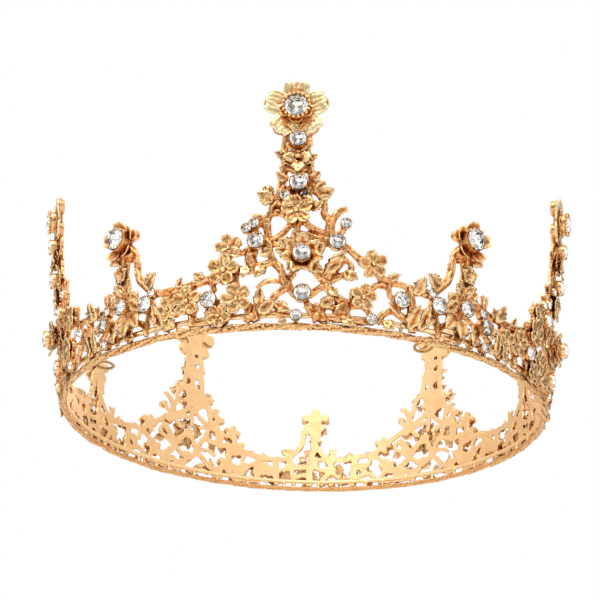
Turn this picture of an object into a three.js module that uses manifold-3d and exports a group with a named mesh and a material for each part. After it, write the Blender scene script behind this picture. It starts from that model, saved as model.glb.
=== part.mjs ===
// A full-round filigree crown: a hoop, five tall peaks and five short spires between them.
// Millimetres, +Z up. The origin is on the hoop's axis, level with the hoop's underside, and the
// front peak faces -Y. Each cast unit is a pierced wall of vines with its flowers and stones on it.
import * as THREE from "three";
import { mergeVertices } from "three/addons/utils/BufferGeometryUtils.js";
import Module from "manifold-3d";

const wasm = await Module();
wasm.setup();

// Driving dimensions.
const BASE_RADIUS = 75;
const FLARE = 0.151; // how far the wall runs outwards for each millimetre of height
const UNITS = 5;
const GAP = 0.3; // clearance between two pieces that touch
const WALL = 1.7; // thickness of the cast vines
const HOOP_HEIGHT = 1.6;
const HOOP_WIDTH = 1.9;
const HOOP_SEGMENTS = 60;
const RAIL_WIDTH = 1.2;
const PEAK_HALF_WIDTH = 34; // along the base circle, to the seam with the next spire
const VINE_STEP = 7; // longest straight stretch of a bent vine
const BEND_STEP = 12; // longest flat facet once the wall is rolled up
const SMALLEST_DETAIL = 0.12; // corners closer to a straight edge than this are dropped
const SEAT_SIDES = 8;
const STONE_SIDES = 10;
const EYELET_OUTER = 2.75;
const EYELET_INNER = 1.95;
const EYELET_THICKNESS = 0.8;
const EYELET_FOOT = 1.4; // height of the eyelets' undersides
const EYELET_SEGMENTS = 8;
const EYELET_ANGLES = [-48.8, 29.2]; // degrees round from the front, +X positive

const UNIT_ANGLE = (2 * Math.PI) / UNITS;
const RAIL_HEIGHT = HOOP_HEIGHT + GAP + RAIL_WIDTH / 2;
const SPIRE_HALF_WIDTH = (Math.PI * BASE_RADIUS) / UNITS - PEAK_HALF_WIDTH;

// Vines and seats are given on the unrolled wall as [a, z]: a runs along the base circle from the
// unit's middle line, +X positive at the front, and z is the height.
const PEAK_VINES = [
  { width: 1.9, route: [[-0.8, 58.5], [-2, 46], [-2.8, 37], [-5.4, 29], [-5.7, 23.2]] },
  { width: 1.8, route: [[2.2, 58.5], [3.8, 47], [5.4, 38], [8, 32], [9, 23.7]] },
  { width: 2, route: [[-2.8, 37], [1.7, 38.3], [5.4, 38]] },
  { width: 1.6, route: [[-4.9, 30.3], [2, 30.5], [6, 26.4], [9, 23.7]] },
  { width: 1.5, route: [[1, 29], [-3, 24.4], [-5.7, 23.2]] },
  { width: 2.2, route: [[-8.2, 22.6], [-5.7, 23.2], [2.4, 19.2], [9, 23.7], [11.3, 22.6]] },
  { width: 2, route: [[-5.7, 23.2], [-3.8, 17.3], [-0.7, 12], [3.3, 8.7]] },
  { width: 1.9, route: [[2.4, 19.2], [9.3, 12], [14, 7], [14, RAIL_HEIGHT]] },
  { width: 1.8, route: [[-3.8, 17.3], [-9.2, 16.4], [-16.3, 15.8]] },
  { width: 1.9, route: [[-8.2, 22.6], [-9.2, 16.4]] },
  { width: 2, route: [[-15, 21.7], [-16.3, 15.8], [-24, 13.4], [-PEAK_HALF_WIDTH, 12.7]] },
  { width: 1.9, route: [[11.3, 22.6], [19, 18], [24, 14.4], [PEAK_HALF_WIDTH, 12.7]] },
  { width: 2.1, route: [[9.3, 12], [14.9, 15.8], [13.5, 21]] },
  { width: 1.9, route: [[3.3, 8.7], [9.3, 12]] },
  { width: 2.2, route: [[3.3, 8.7], [7, RAIL_HEIGHT]] },
  { width: 2, route: [[-0.7, 12], [-3.4, 8.4], [-9, RAIL_HEIGHT]] },
  { width: 2, route: [[-16.3, 15.8], [-12.9, 8], [-9, RAIL_HEIGHT]] },
  { width: 2, route: [[-25.6, 13.2], [-25.9, 8.8], [-25.3, RAIL_HEIGHT]] },
  { width: 1.9, route: [[-25.9, 8.8], [-19.9, 8], [-12.9, 8]] },
  { width: 2.8, route: [[-19.9, 8], [-16.5, RAIL_HEIGHT]] },
  { width: 1.8, route: [[14, 7], [18.3, 9], [24.5, 14.2]] },
  { width: 1.8, route: [[31, 13], [30.5, 6], [25.6, 6.5], [21, RAIL_HEIGHT]] },
  { width: 2, route: [[30.5, 6], [32, RAIL_HEIGHT]] },
  { width: 2, route: [[-31.6, 12.8], [-32.6, 7], [-32.6, RAIL_HEIGHT]] },
];
const PEAK_SEATS = [
  { at: [0.6, 59.7], radius: 3 },
  { at: [1.3, 51], radius: 2 },
  { at: [1.7, 38.3], radius: 2.1 },
  { at: [2, 30.5], radius: 2.2 },
  { at: [-8.2, 22.6], radius: 1.9 },
  { at: [11.3, 22.6], radius: 1.9 },
  { at: [2.4, 19.2], radius: 2 },
  { at: [3.3, 8.7], radius: 2 },
  { at: [-15, 21.7], radius: 2.2 },
  { at: [-16.3, 15.8], radius: 2.6 },
  { at: [-12.9, 8], radius: 2.6 },
  { at: [-25.9, 8.8], radius: 2.6 },
  { at: [-19.9, 8], radius: 1.9 },
  { at: [18.3, 9], radius: 2.2 },
  { at: [20.2, 17.8], radius: 2.4 },
];
const SPIRE_VINES = [
  { width: 2.8, route: [[0, 28.5], [-0.4, 20], [-1.2, 10], [-1.5, RAIL_HEIGHT]] },
  { width: 1.8, route: [[-1.5, 26], [-5, 22.6], [-8, 15], [-SPIRE_HALF_WIDTH, 12.5]] },
  { width: 1.8, route: [[-0.8, 15], [7.3, 13], [SPIRE_HALF_WIDTH, 12.6]] },
  { width: 2, route: [[7.3, 12.6], [7.3, 17]] },
  { width: 1.9, route: [[-9.2, 13.4], [-8.9, 9.9], [-7.5, RAIL_HEIGHT]] },
  { width: 1.9, route: [[-8.9, 9.9], [-1.2, 10], [6.5, 8.3]] },
  { width: 1.9, route: [[7.3, 13], [6.5, 8.3], [3.3, RAIL_HEIGHT]] },
  { width: 1.8, route: [[11, 12.6], [10.4, RAIL_HEIGHT]] },
  { width: 2, route: [[-9, 13.6], [-11.4, 17.4]] },
];
const SPIRE_SEATS = [
  { at: [0, 30], radius: 2.6 },
  { at: [-8.9, 9.9], radius: 2 },
  { at: [-0.6, 11.3], radius: 2 },
  { at: [6.5, 8.3], radius: 2 },
];

// Flowers and stones that stand on a unit's wall. "out" is how far the piece starts off the wall.
const PEAK_FLOWER = { at: [0.6, 59.7], radius: 8.4, notch: 0.5, depth: 1.2, out: GAP };
const CREST_FLOWER = { at: [2, 30.5], radius: 3.7, notch: 0.4, depth: 1, out: GAP };
const SPIRE_FLOWER = { at: [0, 30], radius: 5.5, notch: 0.4, depth: 1, out: GAP };
const PEAK_STONES = {
  peak_stone: { at: [0.7, 60.2], radius: 3.15, out: PEAK_FLOWER.depth + 2 * GAP },
  neck_stone: { at: [1.3, 51], radius: 2.25, out: GAP },
  collar_stone: { at: [1.7, 38.3], radius: 2.3, out: GAP },
  heart_stone: { at: [2.4, 19.2], radius: 2.25, out: GAP },
  root_stone: { at: [3.3, 8.7], radius: 2.15, out: GAP },
};
const SPIRE_STONE = { at: [0, 30.5], radius: 3, out: SPIRE_FLOWER.depth + 2 * GAP };

const GOLD = { color: 0xd9a24a, roughness: 0.32, metalness: 1 };
const DARK_GOLD = { color: 0xa8752f, roughness: 0.45, metalness: 1 };
const STONE = { color: 0xe4e8ec, roughness: 0.05, metalness: 0.2 };

// The wall's point at [a, z], moved straight out from the crown's axis by "out".
function wallPoint(a, z, out = 0) {
  const angle = a / BASE_RADIUS;
  const radius = BASE_RADIUS + FLARE * z + out;
  return new THREE.Vector3(radius * Math.sin(angle), -radius * Math.cos(angle), z);
}

// Turns a shape built flat, facing +Z, to lie on the wall at [a, z] with its back "out" off it.
function placeOnWall(geometry, [a, z], out) {
  const angle = a / BASE_RADIUS;
  const lean = Math.atan(FLARE);
  const sideways = new THREE.Vector3(Math.cos(angle), Math.sin(angle), 0);
  const outward = new THREE.Vector3(
    Math.sin(angle) * Math.cos(lean),
    -Math.cos(angle) * Math.cos(lean),
    -Math.sin(lean),
  );
  const upward = new THREE.Vector3().crossVectors(outward, sideways);
  const matrix = new THREE.Matrix4().makeBasis(sideways, upward, outward);
  matrix.setPosition(wallPoint(a, z).addScaledVector(outward, out));
  return geometry.applyMatrix4(matrix);
}

// A vine's centre line on the unrolled wall, with frames that keep its section square to the wall.
class VineCurve extends THREE.CatmullRomCurve3 {
  computeFrenetFrames(segments, closed) {
    const frames = super.computeFrenetFrames(segments, closed);
    frames.tangents.forEach((tangent, i) => {
      frames.normals[i].set(0, 0, 1);
      frames.binormals[i].crossVectors(tangent, frames.normals[i]);
    });
    return frames;
  }
}

// Vines and seats are made on the unrolled wall, x along the base circle, y up and z outwards.
function vineGeometry({ width, route }, side) {
  const points = route.map(([a, z]) => new THREE.Vector3(side * a, z, 0));
  const curve = new VineCurve(points, false, "centripetal");
  const section = new THREE.Shape([
    new THREE.Vector2(-WALL, -width / 2),
    new THREE.Vector2(0, -width / 2),
    new THREE.Vector2(0, width / 2),
    new THREE.Vector2(-WALL, width / 2),
  ]);
  const steps = Math.max(route.length - 1, Math.ceil(curve.getLength() / VINE_STEP));
  return new THREE.ExtrudeGeometry(section, { steps, extrudePath: curve });
}

function seatGeometry({ at: [a, z], radius }, side) {
  const disc = new THREE.CylinderGeometry(radius, radius, WALL, SEAT_SIDES);
  return disc.rotateX(Math.PI / 2).translate(side * a, z, -WALL / 2);
}

function flowerGeometry({ at, radius, notch, depth, out }) {
  const petals = 5;
  const pointsPerPetal = 5;
  const outline = [];
  for (let i = 0; i < petals * pointsPerPetal; i += 1) {
    const turn = (2 * Math.PI * i) / (petals * pointsPerPetal);
    const reach = radius * (1 - notch * (0.5 - 0.5 * Math.cos(petals * turn)));
    outline.push(new THREE.Vector2(-reach * Math.sin(turn), reach * Math.cos(turn)));
  }
  const plate = new THREE.ExtrudeGeometry(new THREE.Shape(outline), { depth, bevelEnabled: false });
  return placeOnWall(plate, at, out);
}

// A round stone in its cup: a straight cup, a girdle and a sloping crown up to a flat table.
function stoneGeometry({ at, radius, out }) {
  const profile = [
    new THREE.Vector2(0, 0),
    new THREE.Vector2(0.82 * radius, 0),
    new THREE.Vector2(radius, 0.4 * radius),
    new THREE.Vector2(0.6 * radius, 0.75 * radius),
    new THREE.Vector2(0, 0.75 * radius),
  ];
  const stone = new THREE.LatheGeometry(profile, STONE_SIDES);
  stone.rotateX(Math.PI / 2);
  return placeOnWall(stone, at, out);
}

function toSolid(geometry) {
  geometry.deleteAttribute("normal");
  geometry.deleteAttribute("uv");
  const merged = mergeVertices(geometry, 1e-4);
  return new wasm.Manifold(new wasm.Mesh({
    numProp: 3,
    vertProperties: merged.attributes.position.array,
    triVerts: new Uint32Array(merged.index.array),
  }));
}

function toGeometry(solid) {
  const mesh = solid.getMesh();
  const geometry = new THREE.BufferGeometry();
  geometry.setAttribute("position", new THREE.BufferAttribute(mesh.vertProperties, 3));
  geometry.setIndex(new THREE.BufferAttribute(mesh.triVerts, 1));
  return geometry;
}

// One unit's pierced wall: its vines and seats joined flat, with a rail along the foot, trimmed at
// its seams with the next units, then rolled up round the crown's axis.
function latticeGeometry(vines, seats, halfWidth, side) {
  const rail = {
    width: RAIL_WIDTH,
    route: [-halfWidth, 0, halfWidth].map((x) => [x, RAIL_HEIGHT]),
  };
  const pieces = [
    ...[rail, ...vines].map((vine) => vineGeometry(vine, side)),
    ...seats.map((seat) => seatGeometry(seat, side)),
  ];
  const room = new THREE.BoxGeometry(2 * halfWidth - GAP, 2 * BASE_RADIUS, 3 * WALL);
  const joined = pieces.map(toSolid).reduce((whole, piece) => whole.add(piece)).intersect(toSolid(room));
  const lattice = toGeometry(joined.asOriginal().simplify(SMALLEST_DETAIL).refineToLength(BEND_STEP));
  const position = lattice.attributes.position;
  for (let i = 0; i < position.count; i += 1) {
    position.setXYZ(i, ...wallPoint(position.getX(i), position.getY(i), position.getZ(i)));
  }
  return lattice;
}

function hoopGeometry() {
  const lean = FLARE * HOOP_HEIGHT;
  const profile = [
    new THREE.Vector2(BASE_RADIUS - HOOP_WIDTH, 0),
    new THREE.Vector2(BASE_RADIUS, 0),
    new THREE.Vector2(BASE_RADIUS + lean, HOOP_HEIGHT),
    new THREE.Vector2(BASE_RADIUS - HOOP_WIDTH + lean, HOOP_HEIGHT),
    new THREE.Vector2(BASE_RADIUS - HOOP_WIDTH, 0),
  ];
  const hoop = new THREE.LatheGeometry(profile, HOOP_SEGMENTS);
  return hoop.rotateX(Math.PI / 2);
}

function eyeletGeometry() {
  const ring = new THREE.Shape().absarc(0, 0, EYELET_OUTER, 0, 2 * Math.PI);
  ring.holes.push(new THREE.Path().absarc(0, 0, EYELET_INNER, 0, 2 * Math.PI));
  return new THREE.ExtrudeGeometry(ring, {
    depth: EYELET_THICKNESS,
    bevelEnabled: false,
    curveSegments: EYELET_SEGMENTS,
  });
}

function namedMesh(name, geometry, finish) {
  const mesh = new THREE.Mesh(geometry, new THREE.MeshStandardMaterial(finish));
  mesh.name = name;
  return mesh;
}

const crown = new THREE.Group();
crown.add(namedMesh("base_hoop", hoopGeometry(), DARK_GOLD));

EYELET_ANGLES.forEach((degrees, i) => {
  const angle = THREE.MathUtils.degToRad(degrees);
  const reach = BASE_RADIUS - HOOP_WIDTH - GAP - EYELET_OUTER;
  const eyelet = namedMesh(`hair_eyelet_${i + 1}`, eyeletGeometry(), GOLD);
  eyelet.position.set(reach * Math.sin(angle), -reach * Math.cos(angle), EYELET_FOOT);
  eyelet.rotation.z = angle;
  crown.add(eyelet);
});

// Peak 1 is at the front and the rest follow anticlockwise, seen from above.
for (let i = 0; i < UNITS; i += 1) {
  const peak = new THREE.Group();
  const number = i + 1;
  const lattice = latticeGeometry(PEAK_VINES, PEAK_SEATS, PEAK_HALF_WIDTH, 1);
  peak.add(namedMesh(`peak_lattice_${number}`, lattice, GOLD));
  peak.add(namedMesh(`peak_flower_${number}`, flowerGeometry(PEAK_FLOWER), GOLD));
  peak.add(namedMesh(`crest_flower_${number}`, flowerGeometry(CREST_FLOWER), GOLD));
  for (const [name, stone] of Object.entries(PEAK_STONES)) {
    peak.add(namedMesh(`${name}_${number}`, stoneGeometry(stone), STONE));
  }
  peak.rotation.z = i * UNIT_ANGLE;
  crown.add(peak);
}

// Spire 1 is half a unit anticlockwise of the front peak. The two on the +X side are mirror
// images of the others.
for (let i = 0; i < UNITS; i += 1) {
  const spire = new THREE.Group();
  const number = i + 1;
  const side = i < 2 ? 1 : -1;
  const lattice = latticeGeometry(SPIRE_VINES, SPIRE_SEATS, SPIRE_HALF_WIDTH, side);
  spire.add(namedMesh(`spire_lattice_${number}`, lattice, GOLD));
  spire.add(namedMesh(`spire_flower_${number}`, flowerGeometry(SPIRE_FLOWER), GOLD));
  spire.add(namedMesh(`spire_stone_${number}`, stoneGeometry(SPIRE_STONE), STONE));
  spire.rotation.z = (i + 0.5) * UNIT_ANGLE;
  crown.add(spire);
}

export default crown;
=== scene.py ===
import math
import random

import bmesh
import bpy
from mathutils import Matrix, Vector, noise


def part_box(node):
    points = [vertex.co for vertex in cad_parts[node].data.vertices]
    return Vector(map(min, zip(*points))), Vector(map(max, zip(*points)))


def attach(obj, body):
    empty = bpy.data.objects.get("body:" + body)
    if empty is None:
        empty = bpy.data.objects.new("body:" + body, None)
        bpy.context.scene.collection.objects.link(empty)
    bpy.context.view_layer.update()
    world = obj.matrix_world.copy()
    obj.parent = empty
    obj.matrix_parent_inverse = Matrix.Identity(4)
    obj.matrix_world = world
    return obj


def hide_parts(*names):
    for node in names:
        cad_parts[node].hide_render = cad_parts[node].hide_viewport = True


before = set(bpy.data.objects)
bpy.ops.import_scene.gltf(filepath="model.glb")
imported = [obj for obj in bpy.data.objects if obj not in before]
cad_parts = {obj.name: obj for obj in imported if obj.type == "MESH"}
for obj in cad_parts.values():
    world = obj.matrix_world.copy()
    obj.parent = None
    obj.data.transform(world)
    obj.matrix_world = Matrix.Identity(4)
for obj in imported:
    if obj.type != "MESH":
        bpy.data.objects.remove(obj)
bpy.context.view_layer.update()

# ---------------------------------------------------------------------------------------------
# Camera, light and floor. The crown is seen from in front and from below its hoop, a little to
# the right of the front peak, in a bright white tent with one big soft light high in front.
# ---------------------------------------------------------------------------------------------
MM = 0.001
scene = bpy.context.scene
bpy.ops.object.select_all(action="DESELECT")

hoop_low, hoop_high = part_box("base_hoop")
hoop_middle = Vector(((hoop_low[0] + hoop_high[0]) / 2, (hoop_low[1] + hoop_high[1]) / 2, hoop_low[2]))
EYE_TURN = math.radians(3.52)
EYE_RISE = math.radians(26.6)
EYE_ROLL = math.radians(1.83)
EYE_DISTANCE = 321.9 * MM
AIM_HEIGHT = 45.3 * MM

bpy.ops.object.camera_add()
camera = bpy.context.object
camera.data.lens = 57.2
camera.data.sensor_width = 36
camera.data.shift_x = -0.012
camera.data.clip_start = 0.01
aim = Matrix.Rotation(EYE_TURN, 4, "Z") @ Matrix.Rotation(math.radians(90) + EYE_RISE, 4, "X")
aim = Matrix.Translation(hoop_middle + Vector((0, 0, AIM_HEIGHT))) @ aim
camera.matrix_world = aim @ Matrix.Rotation(EYE_ROLL, 4, "Z") @ Matrix.Translation((0, 0, EYE_DISTANCE))
scene.camera = camera
scene.view_settings.view_transform = "Standard"


def soft_light(name, place, size, watts, colour):
    bpy.ops.object.light_add(type="AREA", location=place)
    light = bpy.context.object
    light.name = name
    light.data.shape = "DISK"
    light.data.size = size
    light.data.energy = watts
    light.data.color = colour
    aim_at = hoop_middle + Vector((0, 0, AIM_HEIGHT)) - Vector(place)
    light.rotation_euler = aim_at.to_track_quat("-Z", "Y").to_euler()


soft_light("high_front_light", (-0.15, -0.55, 0.75), 0.5, 2.2, (1, 0.97, 0.92))
soft_light("left_light", (-0.8, -0.35, 0.1), 0.35, 0.6, (1, 0.98, 0.95))
soft_light("right_light", (0.75, -0.5, 0.15), 0.25, 0.35, (1, 0.98, 0.95))
soft_light("back_light", (0.1, 0.8, 0.5), 0.5, 1.2, (1, 0.99, 0.97))

world = bpy.data.worlds.new("white_tent")
world.use_nodes = True
scene.world = world
tent = world.node_tree
tent.nodes.clear()
direction = tent.nodes.new("ShaderNodeTexCoord")
split = tent.nodes.new("ShaderNodeSeparateXYZ")
tent.links.new(direction.outputs["Generated"], split.inputs[0])
height = tent.nodes.new("ShaderNodeMapRange")
height.inputs["From Min"].default_value = -1
tent.links.new(split.outputs["Z"], height.inputs["Value"])
tent_wall = tent.nodes.new("ShaderNodeValToRGB")
tent_wall.color_ramp.elements[0].position = 0.0
tent_wall.color_ramp.elements[0].color = (0.55, 0.5, 0.45, 1)
tent_wall.color_ramp.elements[1].position = 1.0
tent_wall.color_ramp.elements[1].color = (1, 1, 1, 1)
for place, grey in ((0.4, 0.06), (0.5, 0.12), (0.6, 0.42), (0.67, 0.85), (0.82, 1.25)):
    stop = tent_wall.color_ramp.elements.new(place)
    stop.color = (grey, grey, grey, 1)
tent.links.new(height.outputs["Result"], tent_wall.inputs[0])
lit = tent.nodes.new("ShaderNodeBackground")
tent.links.new(tent_wall.outputs["Color"], lit.inputs["Color"])
behind = tent.nodes.new("ShaderNodeMapRange")
behind.inputs["From Min"].default_value = -0.3
behind.inputs["From Max"].default_value = 0.9
behind.inputs["To Min"].default_value = 1.0
behind.inputs["To Max"].default_value = 0.8
tent.links.new(split.outputs["Y"], behind.inputs["Value"])
tent.links.new(behind.outputs["Result"], lit.inputs["Strength"])
seen = tent.nodes.new("ShaderNodeBackground")
seen.inputs["Color"].default_value = (1, 1, 1, 1)
ray = tent.nodes.new("ShaderNodeLightPath")
choose = tent.nodes.new("ShaderNodeMixShader")
tent.links.new(ray.outputs["Is Camera Ray"], choose.inputs[0])
tent.links.new(lit.outputs[0], choose.inputs[1])
tent.links.new(seen.outputs[0], choose.inputs[2])
tent_out = tent.nodes.new("ShaderNodeOutputWorld")
tent.links.new(choose.outputs[0], tent_out.inputs[0])

# The floor lies well below the crown, because the camera looks up from under the hoop.
bpy.ops.mesh.primitive_plane_add(size=4, location=(0, 0, -0.16))
floor = bpy.context.object
floor.name = "floor"
floor_paint = bpy.data.materials.new("pale_floor")
floor_paint.use_nodes = True
floor_paint.node_tree.nodes["Principled BSDF"].inputs["Base Color"].default_value = (0.9, 0.9, 0.89, 1)
floor_paint.node_tree.nodes["Principled BSDF"].inputs["Roughness"].default_value = 0.7
floor.data.materials.append(floor_paint)

# ---------------------------------------------------------------------------------------------
# Base hoop: a rough cast wire like bark, round the foot of the whole crown. It is brass-coloured
# alloy under antique gold plate, and the castings above are soldered to it.
# ---------------------------------------------------------------------------------------------
BASE_RADIUS = 75.0
FLARE = 0.151  # how far the wall leans out for each millimetre of height
WALL = 1.5
UNITS = 5
CORE_OUT = -0.85  # where the middle of a vine lies, off the wall's outer face
BACK_DEPTH = 1.05  # how far the flat back lies behind the outer face
VINE_RIDGES = 4
THORN_SPACING = 4  # steps along a vine
dice = random.Random(7)


def wall(a, z, out=0.0):
    """The point on the flared wall, a mm round from the front and z mm up, out mm off its face."""
    angle = a / BASE_RADIUS
    radius = BASE_RADIUS + FLARE * z + out
    return hoop_middle + Vector((radius * math.sin(angle), -radius * math.cos(angle), z)) * MM


def smooth_line(points, step=0.7):
    """Points every step mm or so along a smooth curve through the given ones."""
    points = [Vector(p) for p in points]
    padded = [2 * points[0] - points[1], *points, 2 * points[-1] - points[-2]]
    line = []
    for p0, p1, p2, p3 in zip(padded, padded[1:], padded[2:], padded[3:]):
        count = max(2, math.ceil((p2 - p1).length / step))
        for i in range(count):
            t = i / count
            bend = (2 * p0 - 5 * p1 + 4 * p2 - p3) * t * t + (3 * p1 - p0 - 3 * p2 + p3) * t ** 3
            line.append(0.5 * (2 * p1 + (p2 - p0) * t + bend))
    return [*line, points[-1]]


def new_strands(name):
    """A curve whose strands are round rods, with radii given in millimetres."""
    curve = bpy.data.curves.new(name, "CURVE")
    curve.dimensions = "3D"
    curve.bevel_depth = MM
    curve.bevel_resolution = 2
    curve.use_fill_caps = True
    return curve


def add_strand(curve, places, radii, closed=False):
    spline = curve.splines.new("POLY")
    spline.points.add(len(places) - 1)
    spline.use_cyclic_u = closed
    for point, place, radius in zip(spline.points, places, radii):
        point.co = (*place, 1)
        point.radius = radius


def add_vine(cores, bark, width, route):
    """A fat rod along a route of [a, z], with ridges of bark that wander along its outer side.

    Ridge 0 is the rod itself.
    """
    line = smooth_line(route)
    last = len(line) - 1
    seed = dice.uniform(0, 100)
    for ridge in range(1 + VINE_RIDGES):
        places, radii = [], []
        for i, point in enumerate(line):
            ahead = line[min(i + 1, last)] - line[max(i - 1, 0)]
            across = Vector((-ahead[1], ahead[0])).normalized()
            wander = noise.noise(Vector((i * 0.26, seed, ridge * 3.7)))
            end = min(i, last - i)
            taper = (0.7, 0.88)[end] if end < 2 else 1
            angle = math.radians(10 + 53 * (ridge - 1) + 70 * wander)
            reach = 0.33 * width if ridge else 0.1 * width * wander
            sideways, outwards = (math.cos(angle), math.sin(angle)) if ridge else (1, 0)
            thickness = 0.19 * (1 + 0.5 * wander) if ridge else 0.4 * (1 + 0.25 * wander)
            a, z = Vector((point[0], point[1])) + across * reach * sideways
            rise = CORE_OUT + 0.45 * noise.noise(Vector((i * 0.12, seed, 9)))
            places.append(wall(a, z, rise + reach * outwards))
            radii.append(width * taper * thickness)
        add_strand(bark if ridge else cores, places, radii)
    for i in range(2, last - 1, THORN_SPACING):
        side = dice.choice((-1, 1)) * 0.42 * width
        radius = width * dice.uniform(0.13, 0.24)
        out = dice.uniform(-0.9, -0.3)
        add_knot(bark, line[i][0] + side, line[i][1] + 0.3 * side, radius, out, 1.8)


def press_back(piece):
    """Presses the back of a casting flat, as a plain mould leaves it."""
    for vert in piece.data.vertices:
        spot = vert.co - hoop_middle
        reach = math.hypot(spot.x, spot.y)
        least = (BASE_RADIUS - BACK_DEPTH) * MM + FLARE * spot.z
        if reach < least:
            vert.co.x += spot.x * (least / reach - 1)
            vert.co.y += spot.y * (least / reach - 1)


def add_knot(curve, a, z, radius, out=-WALL / 2, squash=1.4):
    """A short fat lump, where vines meet or bark swells."""
    ends = [wall(a, z + radius * squash * t, out) for t in (-0.55, -0.3, 0, 0.3, 0.55)]
    add_strand(curve, ends, [radius * r for r in (0.45, 0.85, 1, 0.85, 0.45)])


def make_mesh(curve):
    """Turns a curve into a mesh object, and leaves it the only one selected."""
    rods = bpy.data.objects.new(curve.name, curve)
    scene.collection.objects.link(rods)
    bpy.ops.object.select_all(action="DESELECT")
    rods.select_set(True)
    bpy.context.view_layer.objects.active = rods
    bpy.ops.object.convert(target="MESH")
    return bpy.context.object


def cast(piece, grain, roughness, softness=2):
    """Fuses rods and lumps into one casting with a fine rough skin."""
    fuse = piece.modifiers.new("fuse", "REMESH")
    fuse.mode = "VOXEL"
    fuse.voxel_size = grain * MM
    bpy.ops.object.modifier_apply(modifier=fuse.name)
    soften = piece.modifiers.new("soften", "SMOOTH")
    soften.factor = 0.5
    soften.iterations = softness
    bpy.ops.object.modifier_apply(modifier=soften.name)
    pitting = bpy.data.textures.new("pitting", "CLOUDS")
    pitting.noise_scale = 0.7 * MM
    pitting.noise_depth = 3
    roughen = piece.modifiers.new("roughen", "DISPLACE")
    roughen.texture = pitting
    roughen.texture_coords = "LOCAL"
    roughen.strength = roughness * MM
    roughen.mid_level = 0.5
    bpy.ops.object.modifier_apply(modifier=roughen.name)
    bpy.ops.object.shade_smooth()
    return piece


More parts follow.
